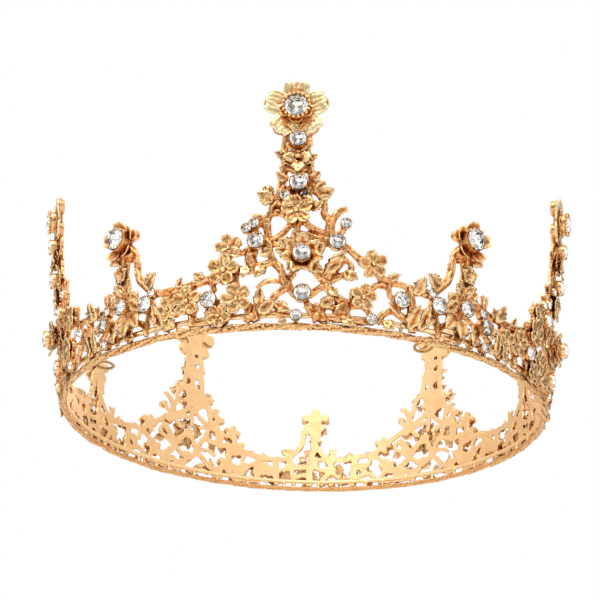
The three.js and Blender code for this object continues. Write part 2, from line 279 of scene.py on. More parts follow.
# Colours: the first is the painted shade of creases, the third a painted highlight on ridges that is
# partly rubbed plate, and back the painted light of inward faces.
def antique_gold(name, painted_recess_shade, middle, bright, roughness, pit_scale, pit_depth, back=(1, 0.7, 0.37)):
    """Gold plate over a casting, with painted light in its colour: painted shade in the hollows from
    pointiness and ambient occlusion, a painted highlight on ridges that is partly rubbed plate, random
    rubbed tone, and paler painted light on faces that look inwards.
    """
    metal = bpy.data.materials.new(name)
    metal.use_nodes = True
    tree = metal.node_tree
    shader = tree.nodes["Principled BSDF"]
    shader.inputs["Metallic"].default_value = 1
    shape = tree.nodes.new("ShaderNodeNewGeometry")
    # Pointiness is low in creases and high on ridges. It paints shade into the creases and a highlight
    # onto the ridges.
    edge = tree.nodes.new("ShaderNodeMapRange")
    edge.inputs["From Min"].default_value = 0.44
    edge.inputs["From Max"].default_value = 0.56
    tree.links.new(shape.outputs["Pointiness"], edge.inputs["Value"])
    place = tree.nodes.new("ShaderNodeTexCoord")
    patches = tree.nodes.new("ShaderNodeTexNoise")
    patches.inputs["Scale"].default_value = 260
    patches.inputs["Detail"].default_value = 4
    tree.links.new(place.outputs["Object"], patches.inputs["Vector"])
    # Random rubbed tone from the noise, added to the pointiness, so the ramp below paints shade in the
    # creases and a highlight on the ridges.
    wear_painted_shade_and_highlight = tree.nodes.new("ShaderNodeMath")
    wear_painted_shade_and_highlight.operation = "MULTIPLY_ADD"
    wear_painted_shade_and_highlight.inputs[1].default_value = 0.55
    tree.links.new(patches.outputs["Fac"], wear_painted_shade_and_highlight.inputs[0])
    tree.links.new(edge.outputs["Result"], wear_painted_shade_and_highlight.inputs[2])
    # Ramp from the darkest painted shade colour through the middle gold to the bright gold: painted shade
    # in creases, and a painted highlight on ridges that is partly rubbed plate.
    shade = tree.nodes.new("ShaderNodeValToRGB")
    shade.color_ramp.elements[0].position = 0.38
    shade.color_ramp.elements[0].color = (*painted_recess_shade, 1)
    shade.color_ramp.elements[1].position = 1.0
    shade.color_ramp.elements[1].color = (*bright, 1)
    shade.color_ramp.elements.new(0.68).color = (*middle, 1)
    tree.links.new(wear_painted_shade_and_highlight.outputs[0], shade.inputs[0])
    # Painted shade: ambient occlusion pulls the colour to the darkest shade colour where nearby metal
    # hides the light.
    shade_occlusion = tree.nodes.new("ShaderNodeAmbientOcclusion")
    shade_occlusion.samples = 4
    shade_occlusion.inputs["Distance"].default_value = 1.6 * MM
    occlusion_painted_shade = tree.nodes.new("ShaderNodeMix")
    occlusion_painted_shade.data_type = "RGBA"
    occlusion_painted_shade.inputs["A"].default_value = (*painted_recess_shade, 1)
    tree.links.new(shade_occlusion.outputs["AO"], occlusion_painted_shade.inputs["Factor"])
    tree.links.new(shade.outputs["Color"], occlusion_painted_shade.inputs["B"])
    # Painted light: faces that look in towards the middle of the crown are mixed towards the paler back
    # colour, standing in for the bright light on the inner walls. The same mask also makes them rougher.
    centre = tree.nodes.new("ShaderNodeVectorMath")
    centre.operation = "MULTIPLY"
    centre.inputs[1].default_value = (1, 1, 0)
    tree.links.new(place.outputs["Object"], centre.inputs[0])
    radial = tree.nodes.new("ShaderNodeVectorMath")
    radial.operation = "NORMALIZE"
    tree.links.new(centre.outputs[0], radial.inputs[0])
    facing = tree.nodes.new("ShaderNodeVectorMath")
    facing.operation = "DOT_PRODUCT"
    tree.links.new(radial.outputs[0], facing.inputs[0])
    tree.links.new(shape.outputs["True Normal"], facing.inputs[1])
    inside = tree.nodes.new("ShaderNodeMapRange")
    inside.inputs["From Min"].default_value = -0.3
    inside.inputs["From Max"].default_value = -0.75
    inside.inputs["To Max"].default_value = 0.75
    tree.links.new(facing.outputs["Value"], inside.inputs["Value"])
    inward_painted_light = tree.nodes.new("ShaderNodeMix")
    inward_painted_light.data_type = "RGBA"
    inward_painted_light.inputs["B"].default_value = (*back, 1)
    tree.links.new(inside.outputs["Result"], inward_painted_light.inputs["Factor"])
    tree.links.new(occlusion_painted_shade.outputs["Result"], inward_painted_light.inputs["A"])
    tree.links.new(inward_painted_light.outputs["Result"], shader.inputs["Base Color"])
    polish = tree.nodes.new("ShaderNodeMapRange")
    polish.inputs["To Min"].default_value = roughness + 0.12
    polish.inputs["To Max"].default_value = roughness - 0.08
    tree.links.new(patches.outputs["Fac"], polish.inputs["Value"])
    duller = tree.nodes.new("ShaderNodeMath")
    duller.operation = "MULTIPLY_ADD"
    duller.inputs[1].default_value = 0.3
    tree.links.new(inside.outputs["Result"], duller.inputs[0])
    tree.links.new(polish.outputs["Result"], duller.inputs[2])
    tree.links.new(duller.outputs[0], shader.inputs["Roughness"])
    pits = tree.nodes.new("ShaderNodeTexNoise")
    pits.inputs["Scale"].default_value = pit_scale
    pits.inputs["Detail"].default_value = 3
    tree.links.new(place.outputs["Object"], pits.inputs["Vector"])
    bump = tree.nodes.new("ShaderNodeBump")
    bump.inputs["Strength"].default_value = 0.6
    bump.inputs["Distance"].default_value = pit_depth * MM
    tree.links.new(pits.outputs["Fac"], bump.inputs["Height"])
    tree.links.new(bump.outputs["Normal"], shader.inputs["Normal"])
    return metal


def fit(piece, name, replaced=None):
    """Names a finished piece, hangs it on the root body, and hides the part it replaces."""
    piece.name = name
    piece.data.name = name
    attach(piece, "root")
    if replaced:
        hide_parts(replaced)


bark_gold = antique_gold(
    "bark_gold", (0.13, 0.035, 0.008), (0.5, 0.19, 0.06), (0.95, 0.6, 0.28), 0.34, 1100, 0.5,
    back=(0.75, 0.42, 0.18),
)
ROUND = 2 * math.pi * BASE_RADIUS
HOOP_STRANDS = 5
HOOP_STEPS = 620
HOOP_TWISTS = 21
HOOP_MIDDLE = 0.75
BARK_RIDGES = 260
hoop_rods = new_strands("base_hoop_bark")
for strand in range(HOOP_STRANDS):
    places, radii = [], []
    for i in range(HOOP_STEPS):
        share = i / HOOP_STEPS
        swirl = Vector((math.cos(2 * math.pi * share), math.sin(2 * math.pi * share), strand)) * 11
        twist = strand * 2 * math.pi / HOOP_STRANDS + 2 * math.pi * HOOP_TWISTS * share
        angle = twist + 2.4 * noise.noise(swirl * 0.5)
        lump = noise.noise(swirl)
        out = CORE_OUT + 0.5 * math.cos(angle)
        places.append(wall(share * ROUND, HOOP_MIDDLE + 0.46 * math.sin(angle), out))
        radii.append(0.5 * (1 + 0.4 * lump))
    add_strand(hoop_rods, places, radii, closed=True)
for i in range(BARK_RIDGES):
    a = ROUND * (i + dice.uniform(-0.45, 0.45)) / BARK_RIDGES
    size = dice.uniform(0.4, 0.72)
    add_knot(hoop_rods, a, dice.uniform(0.35, 1.1), size, dice.uniform(-1.35, -0.3), 1.7)
hoop = cast(make_mesh(hoop_rods), 0.22, 0.5, 1)
hoop.data.materials.append(bark_gold)
fit(hoop, "bark_hoop", "base_hoop")

# ---------------------------------------------------------------------------------------------
# Rail: a smooth flat band inside the wall, just above the hoop, with short posts between the two
# that leave a row of slots. It is cast with the walls, and plated the same gold.
# ---------------------------------------------------------------------------------------------
smooth_gold = antique_gold(
    "smooth_gold", (0.4, 0.15, 0.04), (0.86, 0.5, 0.19), (1, 0.78, 0.45), 0.22, 900, 0.05
)
RAIL_STEPS = 240
RAIL_OUT = -1.0
RAIL_POSTS = 50
rail_rods = new_strands("rail")
for z, radius in ((3.3, 0.45), (3.65, 0.5), (4.0, 0.42)):
    places = [wall(ROUND * i / RAIL_STEPS, z, RAIL_OUT) for i in range(RAIL_STEPS)]
    add_strand(rail_rods, places, [radius] * RAIL_STEPS, closed=True)
for i in range(RAIL_POSTS):
    a = ROUND * (i + dice.uniform(-0.28, 0.28)) / RAIL_POSTS
    wide = dice.uniform(0.4, 0.9)
    post = [wall(a, z, RAIL_OUT) for z in (0.8, 2, 3.2)]
    add_strand(rail_rods, post, [wide, wide * 0.8, wide])
rail = cast(make_mesh(rail_rods), 0.24, 0.05)
rail.data.materials.append(smooth_gold)
fit(rail, "inner_rail")

# ---------------------------------------------------------------------------------------------
# Hair eyelets: two small rings of round wire that stand inwards from the hoop near the front,
# for hairpins or a ribbon. Each is soldered to the hoop with a small lump, and droops a little.
# ---------------------------------------------------------------------------------------------
# The eyelet wire's gold is painted far darker than the rest, as painted shade standing in for the dark
# surroundings its wire reflects.
wire_gold_painted_dark = antique_gold(
    "wire_gold_painted_dark", (0.08, 0.02, 0.004), (0.2, 0.085, 0.025), (0.5, 0.28, 0.1), 0.28, 900, 0.1,
    back=(0.17, 0.065, 0.02),
)
SOLDER_LUMP = 1.15
EYELET_DROOPS = (2, 11)
for number, droop in enumerate(EYELET_DROOPS, 1):
    node = f"hair_eyelet_{number}"
    low, high = (Vector(corner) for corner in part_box(node))
    middle = (low + high) / 2
    wire = (high.z - low.z) / 2
    outer = (high.x - low.x) / 2
    bpy.ops.mesh.primitive_torus_add(
        major_radius=outer - wire, minor_radius=wire, major_segments=48, minor_segments=14,
        location=middle,
    )
    ring = bpy.context.object
    outward = Vector((middle.x, middle.y, 0)).normalized()
    bpy.ops.mesh.primitive_uv_sphere_add(
        segments=20, ring_count=12, radius=SOLDER_LUMP * MM,
        location=middle + outward * (outer + 0.1 * MM),
    )
    ring.select_set(True)
    bpy.context.view_layer.objects.active = ring
    bpy.ops.object.join()
    bpy.ops.object.transform_apply(location=True, rotation=True, scale=True)
    solder = middle + outward * outer
    hinge = Matrix.Rotation(math.radians(droop), 4, outward.cross((0, 0, 1)))
    ring.data.transform(Matrix.Translation(solder) @ hinge @ Matrix.Translation(-solder))
    cast(ring, 0.14, 0.03)
    ring.data.materials.append(wire_gold_painted_dark)
    fit(ring, f"wire_eyelet_{number}", node)

# ---------------------------------------------------------------------------------------------
# Peak walls: five castings, each a pierced wall of vines that climbs to a narrow neck. One is
# modelled at the front and set round the hoop. Routes are millimetres on the unrolled wall.
# ---------------------------------------------------------------------------------------------
WEB_REACH = 0.38  # how far webbing fills the corners between vines
STONE_BASE = 0.15  # how far off the wall a low-set stone's cup starts
CAST_GRAIN = 0.25
CAST_ROUGHNESS = 0.22
PEAK_VINES = [
    (2.1, [(-0.9, 58), (-1.9, 50.2), (-2, 45.7), (-2.2, 41), (-2.7, 36.7), (-3.8, 33.8), (-5.2, 30.7),
           (-5.8, 28.7), (-5.6, 25), (-5.9, 23.2)]),
    (2, [(2, 58), (3.9, 51), (3.5, 48.3), (4.3, 44.5), (4.6, 41.7), (5.4, 38), (6.6, 36), (8, 33.5),
           (8.1, 31), (9, 29), (9.4, 26.7), (9, 23.7)]),
    (1.5, [(1.2, 57), (1.4, 54.5), (1.2, 49)]),
    (1.7, [(-2.1, 47.5), (0.6, 45.6), (3.4, 46.6)]),
    (1.8, [(-2, 43.5), (0.8, 42.2), (1.4, 40.4), (2.4, 42.4), (4.5, 43.4)]),
    (1.8, [(-2.9, 36.5), (-0.6, 37.4), (1.7, 38), (4, 37.3), (5.8, 36.8)]),
    (1.7, [(0.8, 38), (0.9, 34.5), (0.6, 32)]),
    (1.7, [(-3.9, 33.6), (-1.6, 32.8), (0.4, 33.2), (3, 33.4), (5, 31.6)]),
    (1.8, [(-4.9, 30.3), (-2.9, 31), (-1, 29.4), (0, 28), (-1.3, 26), (-3, 24.3), (-4.7, 23.3),
           (-5.7, 23.2)]),
    (1.7, [(-5.7, 23.2), (-4.7, 22.6), (-3, 21.9), (-1.2, 21)]),
    (2.1, [(-5.7, 23.2), (-5.2, 21), (-4.7, 19.3), (-3.8, 17.3), (-2.7, 16.3), (-1.8, 14.7),
           (-1.1, 12.2), (-0.3, 10.6)]),
    (2.1, [(-4.4, 17.6), (-6.3, 16.7), (-8.3, 16), (-10, 15.4), (-11.6, 15.8), (-13.6, 16.4)]),
    (3.2, [(-9.3, 20.8), (-9.8, 18.9), (-9.2, 16.4)]),
    (1.8, [(-10, 21.6), (-11.8, 20.3), (-14.4, 20.6), (-15.6, 19)]),
    (2.4, [(-16.3, 15.2), (-20, 14.2), (-22.7, 13.7), (-26, 13), (-30, 12.6), (-34.7, 12.6)]),
    (1.8, [(-13.4, 15), (-13.2, 12), (-13, 9.4)]),
    (1.7, [(-17.3, 12.8), (-15.4, 13.2), (-13.4, 12.5)]),
    (1.8, [(-19.8, 14), (-19.5, 12.4), (-19, 10.4)]),
    (1.7, [(-17.9, 7), (-16.3, 6), (-14.3, 6.2), (-12.8, 5.6)]),
    (2.2, [(-10.3, 7), (-10, 4), (-10.6, 2)]),
    (2.4, [(-8.3, 6.6), (-8.4, 4), (-7.8, 2)]),
    (2.1, [(-7.8, 4.6), (-6, 6), (-4.3, 7.3), (-3, 9), (-1.3, 10.3), (-0.3, 11)]),
    (1.5, [(-0.7, 12), (-3.3, 12.5), (-5.7, 12.3), (-7.3, 11.4), (-8, 10.6)]),
    (2.1, [(-0.7, 12), (0.4, 10), (2, 8.6), (4.6, 8.7), (5.9, 9.3), (7.4, 10.4), (9.3, 12)]),
    (2.1, [(0.2, 12.6), (1, 15), (2.2, 17.4)]),
    (2.2, [(4.3, 17.6), (6.2, 15.8), (7.6, 14), (9.3, 12)]),
    (1.7, [(9.3, 12), (10.7, 13), (12.7, 14.3), (14.7, 15.3), (15.3, 16.7), (14.3, 18.6)]),
    (2.4, [(9.3, 12), (10, 10.6), (11.1, 9.3), (12.4, 8.2), (14, 7), (14.4, 4.3), (14, 2)]),
    (1.8, [(14, 7), (12.3, 6), (9.6, 6.2), (7.8, 5.4), (6.6, 3.8)]),
    (2.2, [(4.7, 7), (5.4, 5), (6.6, 3.6), (7.2, 2)]),
    (2.4, [(6.2, 6.4), (8, 4.2), (9, 2)]),
    (2.1, [(13.3, 6.5), (11.8, 4.2), (12, 2)]),
    (1.7, [(14.4, 7), (16.4, 6.6), (18.6, 6.7), (20.3, 5), (20.5, 3.4)]),
    (1.8, [(14.4, 7), (16.6, 8.6), (18.6, 9.4), (20.3, 11.3), (22, 13), (25, 13.2)]),
    (2.1, [(12.4, 22.4), (13.8, 22), (15, 21), (17, 19.7), (19, 18.2), (22.7, 15.2), (25, 14.3),
           (28, 14), (31, 13.6), (34.7, 12.8)]),
    (2.1, [(9, 23.7), (10.6, 23), (12.3, 22.2)]),
    (2.1, [(-5.7, 23.2), (-7.2, 22.8), (-8.6, 22.2)]),
    (2, [(13.6, 32.8), (11.9, 31.8), (10.6, 30), (10, 28), (9.8, 26), (9, 23.7)]),
    (1.7, [(9.6, 25), (11.4, 25.3), (12.6, 26.3), (13.4, 27.6)]),
    (1.8, [(3, 28.4), (5.3, 26.9), (7.3, 25.7), (9, 24)]),
    (1.8, [(2, 25.3), (5, 24.6), (7.3, 24), (9, 23.6)]),
    (1.7, [(2.2, 28.4), (1.6, 26.4), (1.6, 23.6), (2, 21)]),
    (2, [(5.4, 20), (7, 20.6), (8.6, 22.6)]),
    (1.8, [(-7.4, 25), (-9.2, 25.4), (-10.4, 26)]),
    (2, [(22.4, 3), (23.6, 5.2), (25.8, 6.7), (28.2, 6), (30.7, 5), (32, 4)]),
    (2.7, [(30.7, 13.4), (31.4, 9.8), (31.7, 6.7), (32.2, 2)]),
    (1.7, [(25, 14), (25.4, 10.6), (27.8, 9.4)]),
    (2.5, [(-25.3, 12.8), (-25.8, 8.8), (-25.2, 5), (-25.2, 2)]),
    (2.4, [(-31.6, 12.6), (-32.6, 9.4), (-32.4, 6), (-33, 2)]),
    (1.8, [(-32.4, 7), (-30, 6), (-28.6, 7.4), (-26, 8)]),
    (1.8, [(-22.4, 9), (-20, 8), (-17.6, 7.6), (-14, 8)]),
    (2.5, [(-19.4, 6.6), (-18.4, 4.6), (-16.8, 3), (-16.2, 1.6)]),
    (1.8, [(-24, 2.6), (-21, 2.5), (-18, 2.6)]),
    (1.8, [(-4.6, 4.2), (-2, 3.9), (0.8, 3.5)]),
    (2, [(9.3, 3.3), (11.3, 3), (13.3, 2.8)]),
    (1.8, [(15.2, 2.9), (17.4, 2.8), (19.9, 2.7)]),
    (2.6, [(8.8, 13), (11, 16.2), (13.6, 19.6)]),
    (1.6, [(-4.4, 34.2), (-6.6, 35)]),
    (1.7, [(-5.7, 25.6), (-6.3, 28.2), (-7.6, 29.8), (-9.6, 30.2)]),
    (1.6, [(6, 35.6), (8.6, 36.2)]),
]
# Flowers are [a, z], radius and turn in degrees. Stones are [a, z], radius, and how far off the
# wall the cup starts.
PEAK_BLOSSOMS = [
    (-15, 21.7, 3.5, 12), (-16.3, 15.8, 4.1, -10), (-12.9, 8, 3.9, 20), (-17.3, 3.9, 3, 40),
    (-25.9, 8.8, 3.9, 0), (18.3, 9, 3.4, -8), (20.4, 17.9, 3.7, 14), (-31.6, 7.6, 3.2, 15),
]
CREST_BLOSSOM = (1.4, 31, 4, 8)
TOP_BLOSSOM = (0.6, 59.9, 8.5, 0)
BACKED = [*PEAK_BLOSSOMS, CREST_BLOSSOM, TOP_BLOSSOM]
PEAK_STONES = {
    "peak_stone": (0.7, 59.5, 3.1, 0.8),
    "neck_stone": (1.3, 50.1, 2.2, 1.3),
    "collar_stone": (1.7, 38, 2.25, 0.9),
    "heart_stone": (3, 18.1, 2.2, 3.2),
    "root_stone": (3.3, 8.7, 2.1, STONE_BASE),
}
PEAK_SMALL_STONES = [
    (-1.5, 35, 1.3, STONE_BASE), (3.4, 35.3, 1.3, STONE_BASE), (-8.2, 22.6, 2.1, STONE_BASE),
    (11.3, 22.5, 2.05, 0.6), (-10.7, 26.3, 1.3, STONE_BASE), (-8.7, 27.3, 1.3, 0.7),
    (13.4, 27.9, 1.35, STONE_BASE), (1.9, 3.1, 1.35, STONE_BASE), (20.6, 3.3, 1.35, STONE_BASE),
    (-19.9, 8, 2.1, STONE_BASE), (28, 9.3, 2.05, STONE_BASE),
]
PEAK_SEATS = [*PEAK_STONES.values(), *PEAK_SMALL_STONES, (1.4, 45, 2.5, 0.8), (1.1, 55, 2, STONE_BASE)]
peak_cores, peak_bark = new_strands("peak_cores"), new_strands("peak_bark")
for width, route in PEAK_VINES:
    add_vine(peak_cores, peak_bark, width, route)
PEAK_KNOTS = [
    (-5.7, 23.2, 1.1), (-0.6, 11.8, 1.3), (9.3, 12, 1.2), (14, 7, 1.2), (9, 23.7, 1.2), (-9.2, 3.2, 1.5),
    (7.2, 3.4, 1.5), (-4.3, 17.6, 0.9), (0.6, 58.6, 1.6), (1.4, 45, 1.4), (-16.3, 15.6, 1.3),
    (-12.9, 7.6, 1.3), (-25.9, 8.4, 1.3), (18.3, 8.8, 1.2), (20.2, 17.2, 1.1), (31.4, 12.6, 1.2),
    (-31.8, 12.2, 1.2), (-33, 3, 1.2), (13.8, 3.2, 1.2),
]
PEAK_BOSSES = [
    (1.4, 47, 1.1, 0.6), (0, 44.8, 1, 0.7), (2.9, 45, 1, 0.8), (1.5, 42.8, 1, 0.5), (1.4, 45.2, 1.1, 1.5),
    (2.4, 19.2, 1.6, 0.6), (2.4, 19.2, 1.5, 1.8),
]
for a, z, radius in PEAK_KNOTS:
    add_knot(peak_cores, a, z, radius, CORE_OUT)
for a, z, radius, out in PEAK_BOSSES:
    add_knot(peak_bark, a, z, radius, out, 1.1)


def on_wall(a, z, out, turn=0.0, size=(1, 1, 1), lean=0.0):
    """The place of a small part on the wall: turned in its face, and leant off it, in degrees."""
    angle = a / BASE_RADIUS
    slope = math.atan(FLARE)
    level = math.cos(slope)
    sideways = Vector((math.cos(angle), math.sin(angle), 0))
    outward = Vector((math.sin(angle) * level, -math.cos(angle) * level, -math.sin(slope)))
    upward = outward.cross(sideways)
    stand = Matrix((sideways, upward, outward)).transposed().to_4x4()
    place = Matrix.Translation(wall(a, z) + outward * out * MM) @ stand
    place = place @ Matrix.Rotation(math.radians(turn), 4, "Z")
    place = place @ Matrix.Rotation(math.radians(lean), 4, "X")
    return place @ Matrix.Diagonal((size[0] * MM, size[1] * MM, size[2] * MM, 1))


def join(parts):
    """Joins objects into the first of them, which is left the only one selected."""
    bpy.ops.object.select_all(action="DESELECT")
    for part in parts:
        part.select_set(True)
    bpy.context.view_layer.objects.active = parts[0]
    bpy.ops.object.join()
    return parts[0]


PLATE_DEPTH = 1.2


def web(cores, blossoms, stones):
    """Fuses rods with plates behind the flowers and seats under the stones, with webbed corners."""
    plates = [make_mesh(cores)]
    for a, z, radius, base in stones:
        bpy.ops.mesh.primitive_cylinder_add(vertices=20, radius=1, depth=1)
        seat = bpy.context.object
        spread = 0.95 * radius
        seat.data.transform(on_wall(a, z, base / 2 - 0.7, 0, (spread, spread, base + 1)))
        plates.append(seat)
    for a, z, size, turn in blossoms:
        for lobe in range(6):
            reach, radius = (0.7, 0.29) if lobe else (0, 0.4)
            swing = math.radians(turn + 72 * lobe)
            across = a - size * reach * math.sin(swing)
            up = z + size * reach * math.cos(swing)
            bpy.ops.mesh.primitive_cylinder_add(vertices=20, radius=1, depth=1)
            plate = bpy.context.object
            spread, thickness = size * radius, max(1.9, 0.22 * size)
            middle = thickness / 2 - PLATE_DEPTH
            plate.data.transform(on_wall(across, up, middle, 0, (spread, spread, thickness)))
            plates.append(plate)
    body = join(plates)
    for swell in (WEB_REACH, -WEB_REACH):
        fuse = body.modifiers.new("fuse", "REMESH")
        fuse.mode = "VOXEL"
        fuse.voxel_size = 0.3 * MM
        bpy.ops.object.modifier_apply(modifier=fuse.name)
        offset = body.modifiers.new("offset", "DISPLACE")
        offset.mid_level = 0
        offset.strength = swell * MM
        bpy.ops.object.modifier_apply(modifier=offset.name)
    return body


peak_rods = join([web(peak_cores, BACKED, PEAK_SEATS), make_mesh(peak_bark)])
gold = antique_gold(
    "filigree_gold", (0.2, 0.036, 0.006), (0.66, 0.225, 0.058), (1, 0.62, 0.29), 0.25, 1400, 0.16
)
peak_wall = cast(peak_rods, CAST_GRAIN, CAST_ROUGHNESS)
press_back(peak_wall)
peak_wall.data.materials.append(gold)


def set_round(master, name, first, replaced=None, mirrored=()):
    """Copies a finished piece to its five places round the hoop, each with a mesh of its own."""
    for i in range(UNITS):
        turn = Matrix.Rotation(math.radians(first + i * 360 / UNITS), 4, "Z")
        if i in mirrored:
            turn = turn @ Matrix.Scale(-1, 4, (1, 0, 0))
        around = Matrix.Translation(hoop_middle) @ turn @ Matrix.Translation(-hoop_middle)
        piece = master.copy()
        piece.data = master.data.copy()
        piece.data.transform(around)
        if i in mirrored:
            piece.data.flip_normals()
        scene.collection.objects.link(piece)
        fit(piece, f"{name}_{i + 1}", replaced and f"{replaced}_{i + 1}")
    bpy.data.objects.remove(master)


set_round(peak_wall, "peak_vines", 0, "peak_lattice")

# ---------------------------------------------------------------------------------------------
# Leaves: pointed cast leaves with a midrib and side veins, curled a little, soldered over the
# vines. One leaf is shaped from a grid, and copies are set over the peaks and the spires.
# ---------------------------------------------------------------------------------------------


def pull_lines(piece, along, pulls):
    """Widens and lifts each line of a grid in turn, lowest first."""
    bpy.ops.object.mode_set(mode="EDIT")
    bpy.context.tool_settings.mesh_select_mode = (True, False, False)
    form = bmesh.from_edit_mesh(piece.data)
    lines = sorted({round(vert.co[along], 5) for vert in form.verts})
    for line, (wide, lift) in zip(lines, pulls):
        bpy.ops.mesh.select_all(action="DESELECT")
        form = bmesh.from_edit_mesh(piece.data)
        for vert in form.verts:
            vert.select_set(abs(vert.co[along] - line) < 1e-4)
        form.select_flush(True)
        bmesh.update_edit_mesh(piece.data)
        spread = (wide, 1, 1) if along == 1 else (1, wide, 1)
        bpy.ops.transform.resize(value=spread, center_override=(0, 0, 0))
        bpy.ops.transform.translate(value=(0, 0, lift))
    bpy.ops.object.mode_set(mode="OBJECT")


def plump(piece, thickness, levels=1):
    """Gives a shaped sheet its thickness and rounds it off."""
    body = piece.modifiers.new("body", "SOLIDIFY")
    body.thickness = thickness
    body.offset = -1
    bpy.ops.object.modifier_apply(modifier=body.name)
    if levels:
        rounding = piece.modifiers.new("rounding", "SUBSURF")
        rounding.levels = levels
        rounding.render_levels = levels
        bpy.ops.object.modifier_apply(modifier=rounding.name)
    bpy.ops.object.shade_smooth()


def shaped_sheet(name, columns, rows):
    """A flat grid one long and one wide, with its foot at the origin, pointing along +Y."""
    bpy.ops.object.select_all(action="DESELECT")
    bpy.ops.mesh.primitive_grid_add(x_subdivisions=columns, y_subdivisions=rows, size=1)
    sheet = bpy.context.object
    sheet.name = name
    bpy.ops.object.mode_set(mode="EDIT")
    bpy.ops.transform.translate(value=(0, 0.5, 0))
    bpy.ops.object.mode_set(mode="OBJECT")
    return sheet


leaf_gold = antique_gold(
    "leaf_gold", (0.22, 0.042, 0.008), (0.71, 0.275, 0.08), (1, 0.7, 0.35), 0.26, 1400, 0.1
)
leaf = shaped_sheet("leaf", 6, 10)
pull_lines(leaf, 0, [(1, -0.07), (1, 0.01), (1, 0.03), (1, -0.05), (1, 0.03), (1, 0.01), (1, -0.07)])
leaf_pulls = []
for i in range(11):
    t = i / 10
    wide = max(0.1, math.sin(math.pi * t ** 0.8)) ** 0.8 * (1.16 if i % 2 else 0.9)
    leaf_pulls.append((wide, 0.12 * math.sin(math.pi * t) + (0.03 if i % 2 else -0.03)))
pull_lines(leaf, 1, leaf_pulls)
plump(leaf, 0.13, levels=0)


def crumple(piece, depth, scale):
    """Pushes thin castings about a little, so that no two on one wall are alike."""
    folds = bpy.data.textures.new("folds", "CLOUDS")
    folds.noise_scale = scale * MM
    folds.noise_depth = 2
    push = piece.modifiers.new("push", "DISPLACE")
    push.texture = folds
    push.texture_coords = "LOCAL"
    push.direction = "RGB_TO_XYZ"
    push.strength = depth * MM
    bpy.ops.object.modifier_apply(modifier=push.name)


def set_copies(master, places, name):
    """Copies of one small part at every place, joined into one object."""
    copies = []
    for place in places:
        copy = master.copy()
        copy.data = master.data.copy()
        copy.data.transform(place)
        scene.collection.objects.link(copy)
        copies.append(copy)
    joined = join(copies)
    joined.name = name
    return joined


LEAF_BREADTH = 1.35


def leaf_place(foot, tip, width, out=-0.1, lean=17):
    """A leaf from its foot to its tip, both [a, z]."""
    reach = Vector(tip) - Vector(foot)
    turn = math.degrees(math.atan2(-reach.x, reach.y))
    size = (LEAF_BREADTH * width, reach.length, min(width, 3.0))
    return on_wall(foot[0], foot[1], out, turn, size, lean)


def leaf_ring(a, z, reach, count, *form):
    """Leaves round one point, all pointing away from it."""
    leaves = []
    for i in range(count):
        swing = 2 * math.pi * i / count
        leaves.append(((a, z), (a + reach * math.sin(swing), z + reach * math.cos(swing)), *form))
    return leaves


PEAK_LEAVES = [
    ((-4.2, 33.8), (-8.6, 35.6), 3.4), ((-4.4, 35.4), (-7.2, 37.6), 2.2),
    ((6, 35.2), (10.6, 36.8), 3.4), ((5.6, 37), (8.6, 39), 2.2),
    ((4.6, 31.4), (8, 33.4), 2.1), ((-7.3, 4.8), (-7, 11), 2), ((-7.6, 4.2), (-2.6, 6.3), 2.6),
    ((-3.6, 6.2), (0.9, 3.8), 2.4), ((2.2, 21.4), (0.4, 25.4), 2.2), ((3, 21.2), (3.8, 24.8), 2),
    ((4.2, 20), (8.9, 21.4), 4), ((0.6, 20.4), (-3, 23), 3), ((0.4, 19.6), (-3.6, 20), 3),
    ((0.2, 18.8), (-1.6, 17.6), 2), ((1.8, 17.4), (-0.8, 14.4), 2.2), ((2.4, 17), (1.4, 13.6), 1.8),
    ((4.2, 17.2), (8.4, 13.8), 2.6), ((4, 17.2), (7, 17.2), 1.9), ((8.4, 13.4), (13.9, 20.4), 2.4),
    ((10.6, 15.4), (11.2, 19.4), 1.8), ((9.8, 10.8), (12, 8.2), 2.2), ((-0.3, 1.8), (-2.6, 1.3), 1.5),
    ((1.4, 46.8), (1.3, 41.6), 2.6), ((1, 46), (-2.8, 43.4), 2.4), ((2, 46), (5.4, 43.8), 2.4),
    ((1, 44.6), (-2.2, 47.4), 2.2), ((2, 44.6), (4.6, 47.6), 2.2), ((1.5, 44.2), (1.5, 48.8), 2.2),
    ((-10.6, 16.6), (-11.4, 12.8), 2), ((13.2, 2.8), (16.6, 1.2), 1.6), ((-18.8, 6), (-21, 3), 2.4),
    ((28, 6.2), (24.6, 8.4), 1.9), ((-29, 12.4), (-27.4, 15.4), 1.7), ((24.6, 14.4), (27.6, 16.2), 1.7),
    ((-32.6, 6.4), (-29.4, 8.6), 2.2), ((33, 6.4), (30, 8.2), 2), ((-2.1, 46), (-4.4, 47.4), 1.5),
    ((4.1, 45.4), (6.2, 46.6), 1.5), ((16.9, 8.4), (15, 10.8), 2.4), ((30.6, 2.4), (33, 9), 2.8),
    ((-30, 2.4), (-33, 5), 2.6), ((-22, 13.4), (-24, 16), 2), ((24, 3.4), (26.6, 1.4), 2.2),
    ((8, 5.6), (11, 8), 2.4), ((-6.4, 16.4), (-8.6, 12.6), 2.4), ((-4.6, 20.2), (-7.4, 19), 2.4),
    ((13.2, 15), (17, 13), 2.4), ((32.4, 11.6), (34, 17), 3),
]
HEART_LEAVES = leaf_ring(3, 18.4, 6, 7, 3.6, 0.7, 27)
